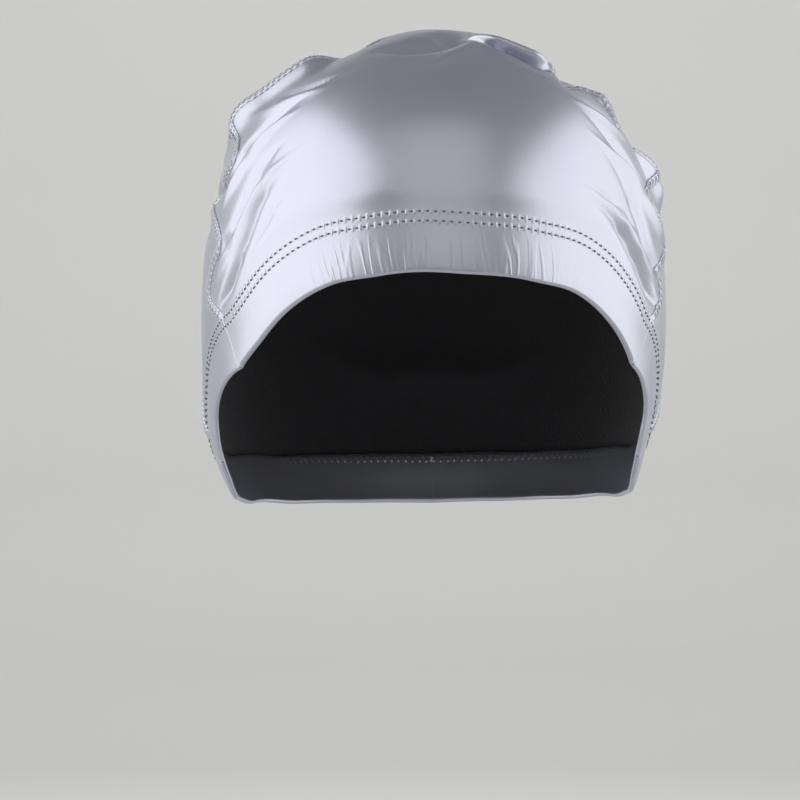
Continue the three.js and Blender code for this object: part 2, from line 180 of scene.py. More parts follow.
# %% Hem and seams
# every place is an azimuth in degrees and a level
HEM = {
    "front": [(-52, 0.772), (-45, 0.738), (-36, 0.692), (-25, 0.657), (-12, 0.643), (6, 0.641), (22, 0.65),
              (34, 0.667), (44, 0.706), (54, 0.768)],
    "left_ear": [(54, 0.768), (61, 0.795), (66.5, 0.835), (67.5, 0.87), (69, 0.905)],
    "back": [(69, 0.905), (75, 0.948), (88, 0.972), (108, 0.983), (132, 0.99), (156, 0.996), (180, 1),
             (-156, 1), (-132, 1), (-108, 0.996), (-88, 0.985), (-76, 0.958), (-71, 0.915)],
    "right_ear": [(-71, 0.915), (-69.5, 0.875), (-67, 0.83), (-60, 0.793), (-52, 0.772)],
}
FRONT_SEAM = [
    (-52, 0.772), (-59, 0.712), (-69, 0.668), (-68, 0.625), (-64, 0.58), (-77, 0.527), (-74, 0.485),
    (-68, 0.445), (-81, 0.398), (-77, 0.345), (-70, 0.25), (-86, 0.12), (180, 0.01), (84, 0.12),
    (72, 0.245), (77, 0.335), (75, 0.385), (77, 0.43), (81, 0.475), (69, 0.52), (81, 0.59), (71, 0.622),
    (69, 0.675), (61, 0.718), (54, 0.768),
]
BACK_SEAM = [
    (-71, 0.915), (-86, 0.855), (-104, 0.74), (-120, 0.6), (-138, 0.46), (-158, 0.36), (180, 0.33),
    (158, 0.36), (138, 0.46), (120, 0.6), (104, 0.74), (85, 0.85), (69, 0.905),
]
print(len(FRONT_SEAM), "places on the front seam,", len(BACK_SEAM), "on the back seam")


# %% Smooth lines through the places
def chart_line(places):
    azimuths, levels = np.array(places, float).T
    return chart(azimuths, levels)


def along(points, share):
    """A smooth line through points, at a share of its length counted in points."""
    last = len(points) - 1
    spot = np.clip(share, 0, 1) * last
    k = np.minimum(np.floor(spot).astype(int), last - 1)
    t = (spot - k)[..., None]
    a, b, c, d = (points[np.clip(k + step, 0, last)] for step in (-1, 0, 1, 2))
    bend = t**2 * (a - 2.5 * b + 2 * c - d / 2)
    return b + t / 2 * (c - a) + bend + t**3 * ((d - a) / 2 + 1.5 * (b - c))


hem_lines = {name: chart_line(places) for name, places in HEM.items()}
front_seam_line, back_seam_line = chart_line(FRONT_SEAM), chart_line(BACK_SEAM)


def hem_row(steps):
    """A closed row of spots on the hem, with so many steps on each of its four lines."""
    rows = [along(line, np.arange(steps[name]) / steps[name]) for name, line in hem_lines.items()]
    return np.concatenate(rows)


HEM_STEPS = 60
hem_spots = hem_row(dict.fromkeys(HEM, HEM_STEPS))
hem_ring = smooth_point(hem_spots)


def nearest_on(line, points):
    """Distance from points to a line of points, the share of the line there, and which way it runs."""
    best = np.full(len(points), np.inf)
    share = np.zeros(len(points))
    way = np.zeros((len(points), 3))
    for k in range(len(line) - 1):
        run = line[k + 1] - line[k]
        off = points - line[k]
        t = np.clip(off @ run / (run @ run), 0, 1)
        away = off - t[:, None] * run
        distance = (away * away).sum(1)
        nearer = distance < best
        best[nearer] = distance[nearer]
        share[nearer] = (k + t[nearer]) / (len(line) - 1)
        way[nearer] = run / np.linalg.norm(run)
    return np.sqrt(best), share, way


print("hem all round:", round(float(np.linalg.norm(np.diff(hem_ring, axis=0), axis=1).sum())), "mm")

# %% [markdown]
# ## The folds
# Slack coated knit buckles into long soft ridges with sharper creases beside them. Each row is one fold: a
# path on the chart, its rise in mm (negative for a crease), half its width in mm, the share of the path over
# which it grows at its first end and at its last, how sharp it is across (2 is a soft hump, near 1 a crisp
# crease), and how many mm it leans over to the right of its path. A fold also gets thinner where it fades.
# They are raised in code because a simulation wouldn't put the folds where the real cloth has them, and
# sculpting them by hand couldn't be repeated.

# %% Folds
# name, path as azimuth and level, rise, half width, (fade in, fade out), sharpness, lean
FOLDS = [
    # right temple, picture left
    ("right temple crease", [(-37, 0.448), (-44, 0.5), (-48, 0.535), (-52, 0.59), (-57, 0.65), (-64, 0.695)],
     -2.6, 2.8, (0.55, 0.2), 1.7, 0),
    ("right temple ridge", [(-34, 0.437), (-42, 0.468), (-48, 0.5), (-53, 0.545), (-60, 0.61), (-67, 0.66)],
     1.5, 2.2, (0.4, 0.25), 1.5, 0),
    ("right temple pleat", [(-35, 0.5), (-41, 0.536), (-45, 0.575), (-52, 0.645)],
     -0.7, 1.3, (0.5, 0.5), 1.2, 0),
    ("right side hollow", [(-43, 0.43), (-49, 0.47), (-53, 0.52), (-58, 0.575), (-66, 0.62)],
     -1.9, 3.2, (0.35, 0.35), 1.8, 0),
    ("right side ridge", [(-43, 0.37), (-51, 0.405), (-57, 0.45), (-62, 0.495), (-67, 0.54)],
     1.8, 2.6, (0.4, 0.3), 1.7, 0),
    ("right side crease", [(-40, 0.335), (-50, 0.37), (-59, 0.42), (-67, 0.48), (-79, 0.503), (-90, 0.51),
                           (-100, 0.51)], -4.0, 2.4, (0.45, 0.25), 1.4, 0),
    ("right brow ridge", [(-34, 0.318), (-46, 0.342), (-60, 0.37), (-76, 0.385)],
     1.8, 3.6, (0.5, 0.3), 1.6, 0),
    ("right crown crease", [(-30, 0.268), (-42, 0.312), (-54, 0.332), (-68, 0.338)],
     -1.8, 3.0, (0.6, 0.3), 1.5, 0),
    ("right shoulder", [(-66, 0.36), (-82, 0.385), (-98, 0.43), (-104, 0.47)], 3.4, 8.0, (0.35, 0.35), 2, 0),
    ("right side notch", [(-76, 0.56), (-88, 0.535), (-100, 0.52)], -3.4, 4.6, (0.4, 0.4), 1.8, 0),
    ("right crown hump", [(-62, 0.235), (-69, 0.262), (-74, 0.3), (-79, 0.35), (-83, 0.4), (-88, 0.45)],
     5.2, 8.0, (0.25, 0.45), 2, 0),
    ("right crown dent", [(-48, 0.16), (-70, 0.2), (-96, 0.25)], -2.2, 8.0, (0.4, 0.4), 2, 0),
    # left temple, picture right
    ("left temple pleat", [(34, 0.495), (41, 0.505), (47, 0.524), (54, 0.553), (61, 0.6)],
     -0.9, 1.2, (0.5, 0.5), 1.3, 0),
    ("left temple crease", [(37, 0.52), (44, 0.538), (50, 0.572), (55, 0.61), (61, 0.655), (69, 0.69)],
     -2.6, 2.6, (0.5, 0.2), 1.6, 0),
    ("left temple ridge", [(42, 0.515), (49, 0.54), (54, 0.572), (60, 0.617), (68, 0.66)],
     1.4, 2.0, (0.4, 0.25), 1.5, 0),
    ("left side ridge", [(45, 0.405), (53, 0.445), (60, 0.475), (67, 0.525), (75, 0.565), (82, 0.59)],
     2.2, 3.0, (0.45, 0.25), 1.6, 0),
    ("left side hollow", [(49, 0.44), (55, 0.49), (59, 0.54), (63, 0.59), (70, 0.625), (78, 0.64)],
     -2.4, 3.6, (0.4, 0.3), 1.8, 0),
    ("left side crease", [(49, 0.372), (55, 0.41), (61, 0.452), (68, 0.5), (76, 0.525)],
     -2.2, 2.8, (0.4, 0.25), 1.4, 0),
    ("left brow ridge", [(46, 0.345), (56, 0.372), (66, 0.405), (78, 0.445)], 1.6, 3.0, (0.5, 0.3), 1.5, 0),
    ("left crown crease", [(50, 0.345), (62, 0.372), (74, 0.405), (86, 0.435), (98, 0.45)],
     -3.2, 3.6, (0.4, 0.25), 1.4, 0),
    ("left shoulder", [(72, 0.33), (84, 0.345), (98, 0.36)], 3.0, 5.5, (0.4, 0.4), 2, 0),
    ("left side hump", [(73, 0.43), (79, 0.46), (84, 0.495), (90, 0.535)], 4.4, 6.0, (0.4, 0.4), 2, 0),
    ("left seam bump", [(80, 0.49), (90, 0.52), (102, 0.53)], 1.4, 5.0, (0.4, 0.4), 2, 0),
    # crown
    ("front crest", [(-18, 0.302), (-4, 0.288), (6, 0.264), (14, 0.238), (22, 0.21), (30, 0.182)],
     2.0, 4.2, (0.5, 0.2), 1.6, 0),
    ("hollow behind the crest", [(-40, 0.235), (-14, 0.215), (6, 0.185), (18, 0.14), (60, 0.08)],
     -4.4, 6.5, (0.35, 0.35), 2, 0),
    ("edge under the roll", [(29, 0.185), (30.5, 0.225), (33, 0.25), (38, 0.272), (46, 0.293), (56, 0.315)],
     1.8, 2.4, (0.2, 0.5), 1.6, 0),
    ("crease under the roll", [(31, 0.18), (34, 0.21), (39, 0.235), (46, 0.258), (54, 0.282)],
     -7.0, 3.4, (0.45, 0.3), 1.8, 0),
    ("crown roll", [(28, 0.135), (36, 0.168), (45, 0.203), (53, 0.238), (60, 0.263)],
     4.0, 5.0, (0.45, 0.25), 2.4, 7.0),
    ("left crown dent", [(112, 0.25), (92, 0.255), (74, 0.277), (60, 0.302), (50, 0.33)],
     -5.2, 5.6, (0.3, 0.35), 2, 0),
    ("left crown slope", [(68, 0.16), (90, 0.18), (115, 0.2), (130, 0.2)], -3.6, 8.0, (0.4, 0.4), 2, 0),
    # back
    ("back crease", [(-150, 0.42), (-165, 0.47), (170, 0.46), (150, 0.4)], -2.4, 8.0, (0.4, 0.4), 1.6, 0),
    ("nape crease", [(-140, 0.72), (-165, 0.78), (165, 0.78), (142, 0.73)], -2.4, 8.0, (0.4, 0.4), 1.6, 0),
]
FOLD_STEPS = 24
folds = []
for _, path, *shape in FOLDS:
    line = smooth_point(along(chart_line(path), np.linspace(0, 1, FOLD_STEPS + 1)))
    folds.append((line, *shape))
print(len(folds), "folds, the deepest", min(fold[1] for fold in folds), "mm")

# %% Folded cloth
THIN_END = 0.4  # the width of a fold where it fades out, as a share of its width
FOLD_REACH = 3.5  # half widths from its path beyond which a fold is too faint to matter
HEM_DEPTH = 20.0
SMOOTH_HEM = 1.0  # hem depths up from the edge, where the folds begin
FULL_FOLDS = 1.5  # hem depths up from the edge, where they have their full height


def smoothstep(value, low, high):
    t = np.clip((value - low) / (high - low), 0, 1)
    return t * t * (3 - 2 * t)


def from_hem(points):
    """Distance from the hem in mm."""
    return nearest_on(np.vstack([hem_ring, hem_ring[:1]]), points)[0]


def fold_shift(points, normals, hem_distance):
    """How far the folds move the cloth off the smooth surface, in mm."""
    total = np.zeros_like(points)
    for line, rise, width, fade, sharp, over in folds:
        middle = line.mean(0)
        reach = np.linalg.norm(line - middle, axis=1).max() + FOLD_REACH * width
        near = np.linalg.norm(points - middle, axis=1) < reach
        if not near.any():
            continue
        distance, share, way = nearest_on(line, points[near])
        strength = smoothstep(np.minimum(share / fade[0], (1 - share) / fade[1]), 0, 1)
        across = distance / (width * (THIN_END + (1 - THIN_END) * strength))
        height = strength * np.exp(-(across**sharp))
        to_the_right = np.cross(way, normals[near])
        total[near] += height[:, None] * (rise * normals[near] + over * to_the_right)
    return total * smoothstep(hem_distance / HEM_DEPTH, SMOOTH_HEM, FULL_FOLDS)[:, None]


seam_points = smooth_point(front_seam_line)
shifts = fold_shift(seam_points, smooth_normal(front_seam_line), from_hem(seam_points))
print("the folds move the front seam by up to", round(float(np.linalg.norm(shifts, axis=1).max()), 1), "mm")

# %% [markdown]
# ## The cloth surface
# The stitched hem is tighter than the cloth above it, so the cloth swells a little over the stitches.
# Everything that lies on the cap, such as a seam or a thread, asks this one function where the cloth is.

# %% Rows above the hem
STITCH_ROWS = (21.6, 18.1)  # mm up from the hem's edge
STITCH_PITCH = 2.88  # mm
NEAR_ROW = 0.97  # share of its height below which a spot belongs to the crossing at a corner of the hem


def upward_step(spots, reach):
    """The step on the chart that goes up one millimetre from a closed row, by neighbours at a reach."""
    points = smooth_point(spots)
    round_it = np.roll(points, -reach, 0) - np.roll(points, reach, 0)
    upward = unit(np.cross(smooth_normal(spots), round_it))
    upward *= np.where((upward[:, 2:] < 0).mean() > 0.5, -1, 1)
    return chart_step(spots, upward)


def up_from_hem(spots, heights):
    """Spots at heights in mm above a closed row of hem spots."""
    step = upward_step(spots, 2)
    return spots[:, None] + step[:, None] * np.asarray(heights)[None, :, None]


def even_ring(spots, pitch):
    """Evenly spaced spots on a closed row, about one pitch apart."""
    closed = np.vstack([spots, spots[:1]])
    lengths = np.append(0, np.cumsum(np.linalg.norm(np.diff(smooth_point(closed), axis=0), axis=1)))
    count = round(lengths[-1] / pitch)
    at = np.arange(count) * lengths[-1] / count
    return np.stack([np.interp(at, lengths, closed[:, k]) for k in (0, 1)], -1)


# the line between the two rows of stitches, from the nape round to the nape again
between_rows = sum(STITCH_ROWS) / 2
row_spots = up_from_hem(hem_spots, [between_rows])[:, 0]
row_spots = row_spots[from_hem(smooth_point(row_spots)) > NEAR_ROW * between_rows]
nape = np.argmax(row_spots[:, 1] - np.abs(row_spots[:, 0]))
stitch_spots = even_ring(np.roll(row_spots, -nape, 0), STITCH_PITCH)
stitch_ring = smooth_point(np.vstack([stitch_spots, stitch_spots[:1]]))
front_stitch = np.argmin(np.abs(stitch_spots[:, 0]) + stitch_spots[:, 1])
print(len(stitch_spots), "stitches in each row of the hem, number", front_stitch, "in the middle")

# %% The cloth surface
HEM_SWELL = 0.8  # mm by which the cloth above the stitches stands out
SWELL_RANGE = (0.3, 9)  # mm above the upper row, from its start to its full height
EDGE_RANGE = (2, STITCH_ROWS[1])  # mm up from the edge, where the pull of the stitches grows


def hem_places(points, hem_distance):
    """For each point the number of stitches from the middle of the front, and mm up from the hem."""
    share = nearest_on(stitch_ring, points)[1]
    return np.stack([share * len(stitch_spots) - front_stitch, hem_distance, np.zeros(len(points))], -1)


def cloth(spots):
    """The outer surface of the cloth, in mm, for spots of any shape, and how far each is from the hem."""
    flat = spots.reshape(-1, 2)
    points = smooth_point(flat)
    hem_distance = from_hem(points)
    swell = HEM_SWELL * (smoothstep(hem_distance - STITCH_ROWS[0], *SWELL_RANGE) - 1)
    swell = swell * smoothstep(hem_distance, *EDGE_RANGE)
    normals = smooth_normal(flat)
    raised = points + fold_shift(points, normals, hem_distance) + swell[:, None] * normals
    return raised.reshape(*spots.shape[:-1], 3), hem_distance


pulled = np.linalg.norm(cloth(stitch_spots)[0] - smooth_point(stitch_spots), axis=1).mean()
print("the stitches draw the cloth in by", round(float(pulled), 2), "mm")

# %% [markdown]
# ## The panels
# A panel lies between two lines, with columns of points from one to the other. Its outer side is the
# silver coat, its inner side the dark knit. At the hem it turns in with a small radius, as folded cloth
# does, and the hem fold goes on from there. A sphere cut along the seams would leave ragged edges, while
# columns that start and end on the lines give each panel a clean one.

# %% From line to line
CLOTH = 1.0  # mm, one layer
PANEL_GAP = 0.3  # mm between two panels, under the seam band
TURN_RADIUS = 1.15  # mm, outside of the fold at the hem
TURN_STEPS = 5
TURN_ANGLE = 88  # degrees that a panel turns in, which leaves a slit where the hem fold goes on


def between(one, other, t):
    return one * (1 - t)[..., None] + other * t[..., None]


def cross_front(s, t):
    """From the front seam to the hem over the forehead, for a share s along and t across."""
    return between(along(front_seam_line, s), along(hem_lines["front"], s), t)


def cross_back(s, t):
    return between(along(back_seam_line, s), along(hem_lines["back"], 1 - s), t)


def cross_strip(s, t):
    """From the front seam to the back seam, bent at the ends to follow the hem at the ears."""
    ruled = between(along(front_seam_line, s), along(back_seam_line, s), t)
    right = along(hem_lines["right_ear"], 1 - t) - between(front_seam_line[0], back_seam_line[0], t)
    left = along(hem_lines["left_ear"], t) - between(front_seam_line[-1], back_seam_line[-1], t)
    return ruled + between(right, left, s)


middle_share = np.array(0.5)
halfway = smooth_point(cross_strip(middle_share, middle_share))
print("the middle of the crown strip is at", np.round(halfway, 1), "mm")

# %% Nets of points
CENTRE = np.array([0.0, 10.0, -90.0])  # the middle of the hollow, in mm
SMALL_SHARE = 1e-3  # for slopes along a share
WIDEST_EDGE = 0.2  # the most of a column that may be left off at one end


def net_normals(net):
    """Outward normals of a net of points, columns by rows."""
    normals = unit(np.cross(np.gradient(net, axis=0), np.gradient(net, axis=1)))
    inward = ((net - CENTRE) * normals).sum(-1).mean() < 0
    return -normals if inward else normals


def turned_edge(edge, inner, normal, depth, start, stop):
    """Rows of points round the fold of the hem, from a start angle to a stop angle in degrees."""
    across = edge - inner
    across = unit(across - (across * normal).sum(-1, keepdims=True) * normal)
    middle = edge - TURN_RADIUS * normal
    angles = np.radians(np.linspace(start, stop, TURN_STEPS + 1))
    return [middle + (TURN_RADIUS - depth) * (math.cos(a) * normal + math.sin(a) * across) for a in angles]


def share_off(cross, s, distance, far):
    """The share of a column that lies within a distance of its near or far end."""
    end, step = (np.ones_like(s), -SMALL_SHARE) if far else (np.zeros_like(s), SMALL_SHARE)
    start = smooth_point(cross(s, end))
    run = (smooth_point(cross(s, end + step)) - start) / SMALL_SHARE
    ahead = smooth_point(cross(np.clip(s + SMALL_SHARE, 0, 1), end))
    behind = smooth_point(cross(np.clip(s - SMALL_SHARE, 0, 1), end))
    straight_off = np.linalg.norm(np.cross(run, unit(ahead - behind)), axis=-1)
    return np.minimum(distance / straight_off, WIDEST_EDGE)


def panel_net(cross, stations, rows, near, far):
    """Spots in columns at the stations, from near mm off the first line to far mm off the other."""
    first = share_off(cross, stations, near, False)
    last = 1 - share_off(cross, stations, far, True)
    t = first[:, None] + (last - first)[:, None] * np.linspace(0, 1, rows + 1)
    return cross(np.repeat(stations[:, None], rows + 1, 1), t)


# %% [markdown]
# ## Two-sided sheets
# A sheet is one closed mesh: an outer net, an inner net one cloth behind it, and narrow walls round the
# edge. A solidify modifier would do nearly the same, but here the faces are told which side they are on, so
# that coat and knit can have their own materials, and each point how far up the hem it lies.

# %% Closed sheets
def closed_sheet(name, outer, inner, places, ring=False):
    columns, rows = outer.shape[:2]
    index = np.arange(columns * rows).reshape(columns, rows)
    if ring:
        index = np.vstack([index, index[:1]])
    under = index + columns * rows

    def quads(grid):
        return np.stack([grid[:-1, :-1], grid[1:, :-1], grid[1:, 1:], grid[:-1, 1:]], -1).reshape(-1, 4)

    def wall(top, bottom):
        return np.stack([bottom[:-1], bottom[1:], top[1:], top[:-1]], -1)

    walls = [wall(index[:, 0], under[:, 0]), wall(under[:, -1], index[:, -1])]
    if not ring:
        walls += [wall(under[0], index[0]), wall(index[-1], under[-1])]
    outside, inside, edge = quads(index), quads(under)[:, ::-1], np.vstack(walls)
    faces = np.vstack([outside, inside, edge])
    points = np.vstack([outer.reshape(-1, 3), inner.reshape(-1, 3)])
    a, b, c, d = (points[faces[:, k]] for k in range(4))
    volume = ((a * np.cross(b, c)).sum() + (a * np.cross(c, d)).sum()) / 6
    if volume < 0:
        faces = faces[:, ::-1]
    mesh = bpy.data.meshes.new(name)
    mesh.from_pydata((points * MM).tolist(), [], faces.tolist())
    on_knit = np.repeat([0, 1, 0], [len(outside), len(inside), len(edge)])
    mesh.polygons.foreach_set("material_index", on_knit)
    mesh.polygons.foreach_set("use_smooth", np.ones(len(faces), bool))
    store = mesh.attributes.new("hem_place", "FLOAT_VECTOR", "POINT")
    store.data.foreach_set("vector", np.tile(places.reshape(-1, 3), (2, 1)).astype(np.float32).ravel())
    mesh.update()
    piece = bpy.data.objects.new(name, mesh)
    bpy.context.scene.collection.objects.link(piece)
    corners = points[outside]
    diagonals = np.cross(corners[:, 2] - corners[:, 0], corners[:, 3] - corners[:, 1])
    area = np.linalg.norm(diagonals, axis=1).sum() / 2
    print(f"{name}: {2 * len(faces)} triangles, {area / 100:.0f} cm2 outside, {abs(volume) / 1000:.1f} cm3")
    return piece


# %% Panels with a turned edge
def sheet_layers(net, normals, ends):
    """The outer and the inner net of a panel, with the turned rows at the ends that are hem."""
    layers = []
    for depth in (0, CLOTH):
        body = net - depth * normals
        if "last row" in ends:
            turn = turned_edge(net[:, -1], net[:, -2], normals[:, -1], depth, 0, TURN_ANGLE)[1:]
            body = np.concatenate([body, np.stack(turn, 1)], 1)
        if "both columns" in ends:
            first = turned_edge(net[0], net[1], normals[0], depth, 0, TURN_ANGLE)[:0:-1]
            last = turned_edge(net[-1], net[-2], normals[-1], depth, 0, TURN_ANGLE)[1:]
            body = np.concatenate([np.stack(first), body, np.stack(last)], 0)
        layers.append(body)
    return layers


def panel(name, spots, ends):
    """A sheet over a net of spots. The ends that are hem are the last row or both outer columns."""
    net, hem_distance = cloth(spots)
    normals = net_normals(net)
    places = hem_places(smooth_point(spots.reshape(-1, 2)), hem_distance).reshape(net.shape)
    outer, inner = sheet_layers(net, normals, ends)
    if "last row" in ends:
        places = np.concatenate([places] + [places[:, -1:]] * TURN_STEPS, 1)
    if "both columns" in ends:
        places = np.concatenate([places[:1]] * TURN_STEPS + [places] + [places[-1:]] * TURN_STEPS, 0)
    return closed_sheet(name, outer, inner, places)


# %% Front and back panels
POINTED_END = 0.004  # share of a seam left off where a panel runs to a point


def half_moon(name, cross, columns, rows):
    """A panel between a seam and the hem, which meet in a point at both of its ends."""
    stations = np.linspace(POINTED_END, 1 - POINTED_END, columns + 1)
    return panel(name, panel_net(cross, stations, rows, PANEL_GAP / 2, TURN_RADIUS), ["last row"])


front_panel = half_moon("front_cloth", cross_front, columns=250, rows=170)
back_panel = half_moon("back_cloth", cross_back, columns=220, rows=130)

# %% Crown strip
STRIP_COLUMNS, STRIP_ROWS = 420, 70
SEAM_LENGTH = 560.0  # mm, roughly, to keep the turned edge inside the hem line
strip_end = TURN_RADIUS / SEAM_LENGTH
stations = np.linspace(strip_end, 1 - strip_end, STRIP_COLUMNS + 1)
strip_spots = panel_net(cross_strip, stations, STRIP_ROWS, PANEL_GAP / 2, PANEL_GAP / 2)
crown_strip = panel("crown_cloth", strip_spots, ["both columns"])

# %% [markdown]
# ## The hem fold
# Inside the edge the cloth goes on for 20 mm, close to the panels. Its coated side faces inwards, so from
# below one sees a silver band in front of the dark knit. It is a ring of its own, since the hem is folded
# after the panels are sewn together.

# %% Hem fold
RING_STEPS = {"front": 150, "left_ear": 44, "back": 270, "right_ear": 44}
FOLD_ROWS = 13
ABOVE_TURN = 2.4  # mm up from the edge, the first row above the turn
fold_heights = np.concatenate([[TURN_RADIUS], np.linspace(ABOVE_TURN, HEM_DEPTH, FOLD_ROWS)])
fold_spots = up_from_hem(hem_row(RING_STEPS), fold_heights)
fold_net, fold_distance = cloth(fold_spots)
# the rows cross at the corners of the hem, where the normals of the net would flip
fold_normals = smooth_normal(fold_spots)
fold_layers = []
for depth in (0, CLOTH):
    turn = turned_edge(fold_net[:, 0], fold_net[:, 1], fold_normals[:, 0], depth, 180, 180 - TURN_ANGLE)
    turn = turn[:0:-1]
    rows = fold_net - (2 * TURN_RADIUS - depth) * fold_normals
    fold_layers.append(np.concatenate([np.stack(turn, 1), rows], 1))
fold_places = hem_places(smooth_point(fold_spots.reshape(-1, 2)), fold_distance)
fold_places = fold_places.reshape(fold_net.shape)
fold_places = np.concatenate([fold_places[:, :1]] * TURN_STEPS + [fold_places], 1)
hem_fold = closed_sheet("hem_fold_cloth", fold_layers[0], fold_layers[1], fold_places, ring=True)

# %% [markdown]
# ## Materials
# The coat is polyurethane pressed onto the knit with a metal pigment, so it is a satin metal to the eye,
# smooth where it is stretched and finely creased where it is stitched. The knit behind it is a dark
# polyamide.

# %% Helpers for materials
def linear(hex_colour):
    """An sRGB hex colour as linear values."""
    parts = [int(hex_colour[k:k + 2], 16) / 255 for k in (1, 3, 5)]
    return [c / 12.92 if c <= 0.04045 else ((c + 0.055) / 1.055) ** 2.4 for c in parts] + [1.0]


def node(tree, kind, settings=None, **links):
    """Adds a node and sets or links its inputs, which are named, or numbered as i0, i1 and so on."""
    made = tree.nodes.new(kind)
    for key, value in (settings or {}).items():
        setattr(made, key, value)
    for key, value in links.items():
        by_number = key[0] == "i" and key[1:].isdigit()
        socket = made.inputs[int(key[1:]) if by_number else key.replace("_", " ")]
        if isinstance(value, bpy.types.NodeSocket):
            tree.links.new(value, socket)
        else:
            socket.default_value = value
    return made


def new_material(name, colour, roughness, metallic=0.0):
    material = bpy.data.materials.new(name)
    material.use_nodes = True
    shader = material.node_tree.nodes["Principled BSDF"]
    shader.inputs["Base Color"].default_value = linear(colour)
    shader.inputs["Roughness"].default_value = roughness
    shader.inputs["Metallic"].default_value = metallic
    material.diffuse_color = linear(colour)
    return material, material.node_tree, shader


def per_metre(size):
    """The scale of a pattern whose marks have a size in mm."""
    return 1 / (size * MM)


print("mid grey is", round(linear("#808080")[0], 3), "in linear values")

# %% Silver coat
GRAIN = 0.714  # mm, the knit that shows faintly through the coat
CLOUD = 22.2  # mm, patches where the coat is a little duller
DULLNESS = (0.32, 0.37)  # roughness where the coat is brightest and where it is dullest
# a coat pressed onto cloth spreads each highlight softly, and the grain of the knit shows in it
coat, tree, shader = new_material("pu_coated_knit_satin_silver", "#d0d2df", 0.34, 0.9)


def maths(operation, first, second=0.0):
    return node(tree, "ShaderNodeMath", {"operation": operation}, i0=first, i1=second).outputs[0]


def smooth_range(value, low, high):
    settings = {"interpolation_type": "SMOOTHSTEP"}
    return node(tree, "ShaderNodeMapRange", settings, Value=value, From_Min=low, From_Max=high).outputs[0]


object_place = node(tree, "ShaderNodeTexCoord").outputs["Object"]
grain = node(tree, "ShaderNodeTexNoise", Vector=object_place, Scale=per_metre(GRAIN), Detail=2.0)
cloud = node(tree, "ShaderNodeTexNoise", Vector=object_place, Scale=per_metre(CLOUD), Detail=3.0)
roughness = node(tree, "ShaderNodeMapRange", Value=cloud.outputs["Fac"], From_Min=0.3, From_Max=0.7,
                 To_Min=DULLNESS[0], To_Max=DULLNESS[1])
tree.links.new(roughness.outputs[0], shader.inputs["Roughness"])
grain_bump = node(tree, "ShaderNodeBump", Strength=0.1, Distance=0.0003, Height=grain.outputs["Fac"])
print("silver coat:", len(tree.nodes), "nodes so far")

# %% Puffs and creases of the hem
PUFF_START, PUFF_FULL = 0.22, 0.48  # stitches from the middle of one
PUFF_REACH, PUFF_CORE = 1.5, 0.2  # mm from the row, where a puff ends and where it is full
CREASES_PER_STITCH = 0.55  # changes of the pattern for each stitch
CREASE_SLANT = 0.02  # likewise for each mm up, which leans the creases over
CREASE_BREAK = 0.025  # likewise, which ends them
CREASE_LEVEL, CREASE_WIDTH = 0.53, 0.07  # the value of the noise on a crease, and how far off it ends
CREASED_MIDDLE = 1.0  # stitches to the wearer's right of the middle
CREASE_SIDES = (30.0, 12.0)  # stitches to each side where the creases end and where they are full
CREASE_TOP = (18.0, 7.0)  # mm up from the edge, likewise
hem_place = node(tree, "ShaderNodeAttribute", {"attribute_name": "hem_place"}).outputs["Vector"]
split = node(tree, "ShaderNodeSeparateXYZ", Vector=hem_place)
stitch_number, up_hem = split.outputs["X"], split.outputs["Y"]

# the cloth puffs up between two stitches of a row
off_row = maths("ABSOLUTE", maths("SUBTRACT", maths("ABSOLUTE", maths("SUBTRACT", up_hem, between_rows)),
                                  (STITCH_ROWS[0] - STITCH_ROWS[1]) / 2))
between_stitches = maths("PINGPONG", stitch_number, 0.5)
puff = maths("MULTIPLY", smooth_range(between_stitches, PUFF_START, PUFF_FULL),
             smooth_range(off_row, PUFF_REACH, PUFF_CORE))

# fine creases run up from the edge in the middle of the front, where the turned hem is a little too long
slanted = maths("ADD", maths("MULTIPLY", stitch_number, CREASES_PER_STITCH),
                maths("MULTIPLY", up_hem, CREASE_SLANT))
broken = maths("MULTIPLY", up_hem, CREASE_BREAK)
squeezed = node(tree, "ShaderNodeCombineXYZ", X=slanted, Y=broken).outputs[0]
streaks = node(tree, "ShaderNodeTexNoise", Vector=squeezed, Scale=1.0, Detail=1.0, Roughness=0.4)
off_ridge = maths("ABSOLUTE", maths("SUBTRACT", streaks.outputs["Fac"], CREASE_LEVEL))
in_front = smooth_range(maths("ABSOLUTE", maths("ADD", stitch_number, CREASED_MIDDLE)), *CREASE_SIDES)
in_band = maths("MULTIPLY", smooth_range(up_hem, *CREASE_TOP), in_front)
crease = maths("MULTIPLY", smooth_range(off_ridge, CREASE_WIDTH, 0.0), in_band)
crease_bump = node(tree, "ShaderNodeBump", Strength=0.4, Distance=0.00025, Height=crease,
                   Normal=grain_bump.outputs[0])
puff_bump = node(tree, "ShaderNodeBump", Strength=0.55, Distance=0.00035, Height=puff,
                 Normal=crease_bump.outputs[0])
tree.links.new(puff_bump.outputs[0], shader.inputs["Normal"])
print("silver coat:", len(tree.nodes), "nodes")

# %% Dark knit
KNIT_LOOP = 0.909  # mm
# loops of yarn scatter the light, so the inside is dull and dark, with a faint sheen at a slant
knit, tree, shader = new_material("polyamide_knit_charcoal", "#302e33", 0.85)
object_place = node(tree, "ShaderNodeTexCoord").outputs["Object"]
loops = node(tree, "ShaderNodeTexVoronoi", Vector=object_place, Scale=per_metre(KNIT_LOOP))
bump = node(tree, "ShaderNodeBump", Strength=0.6, Distance=0.0004, Height=loops.outputs["Distance"])
tree.links.new(bump.outputs[0], shader.inputs["Normal"])
shader.inputs["Sheen Weight"].default_value = 0.25

for piece in (front_panel, crown_strip, back_panel, hem_fold):
    piece.data.materials.append(coat)
    piece.data.materials.append(knit)
print("materials:", [material.name for material in front_panel.data.materials])

